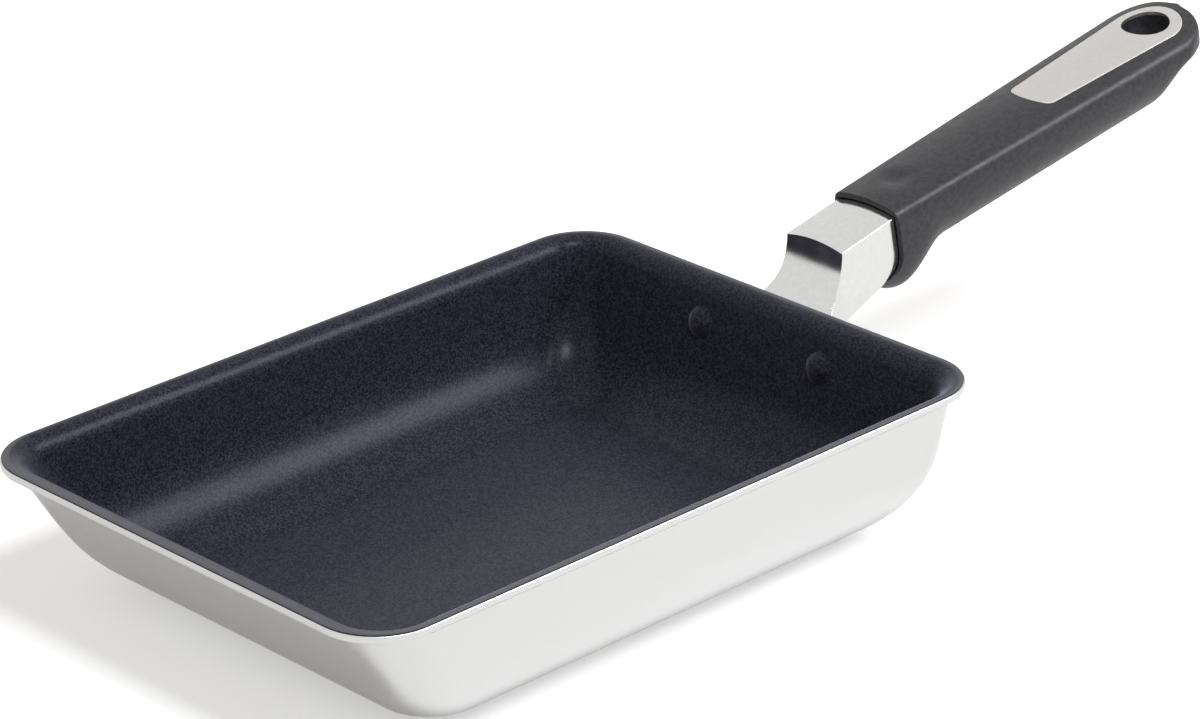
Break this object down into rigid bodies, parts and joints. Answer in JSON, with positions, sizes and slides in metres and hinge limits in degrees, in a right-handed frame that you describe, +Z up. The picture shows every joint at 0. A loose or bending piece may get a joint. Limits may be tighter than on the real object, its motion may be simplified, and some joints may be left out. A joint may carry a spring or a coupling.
{
  "type": "tamagoyaki pan",
  "caption": "Rectangular pan for rolled omelettes, with a non-stick inside and a moulded grip on a riveted sheet bracket.",
  "frame": {"origin": "on the plane that the base stands on, under the middle of the rim's outline", "axes": "+X towards the handle, +Y towards the long side that lies on the left of someone who looks along +X, +Z up"},
  "size_m": [0.3569, 0.145, 0.0783],
  "materials": {
    "pan_shell": "satin silver, heat-resistant coat",
    "lining": "dark charcoal non-stick coating with a fine sparkle, semi-gloss",
    "rivets": "coated dark inside the pan, bare outside",
    "bracket_steel": "smooth, bright plated",
    "fastener_steel": "zinc plated",
    "grip_resin": "dark grey heat-resistant resin, fine satin grain",
    "inlay_metal": "satin silver"
  },
  "bodies": {
    "root": {"pan_body": "pan_shell", "nonstick_lining": "lining", "rivet_left": "rivets", "rivet_right": "rivets", "handle_bracket": "bracket_steel", "bracket_nut": "fastener_steel", "grip": "grip_resin", "inlay_plate": "inlay_metal", "handle_screw": "fastener_steel", "flat_washer": "fastener_steel", "spring_washer": "fastener_steel"}
  },
  "joints": []
}
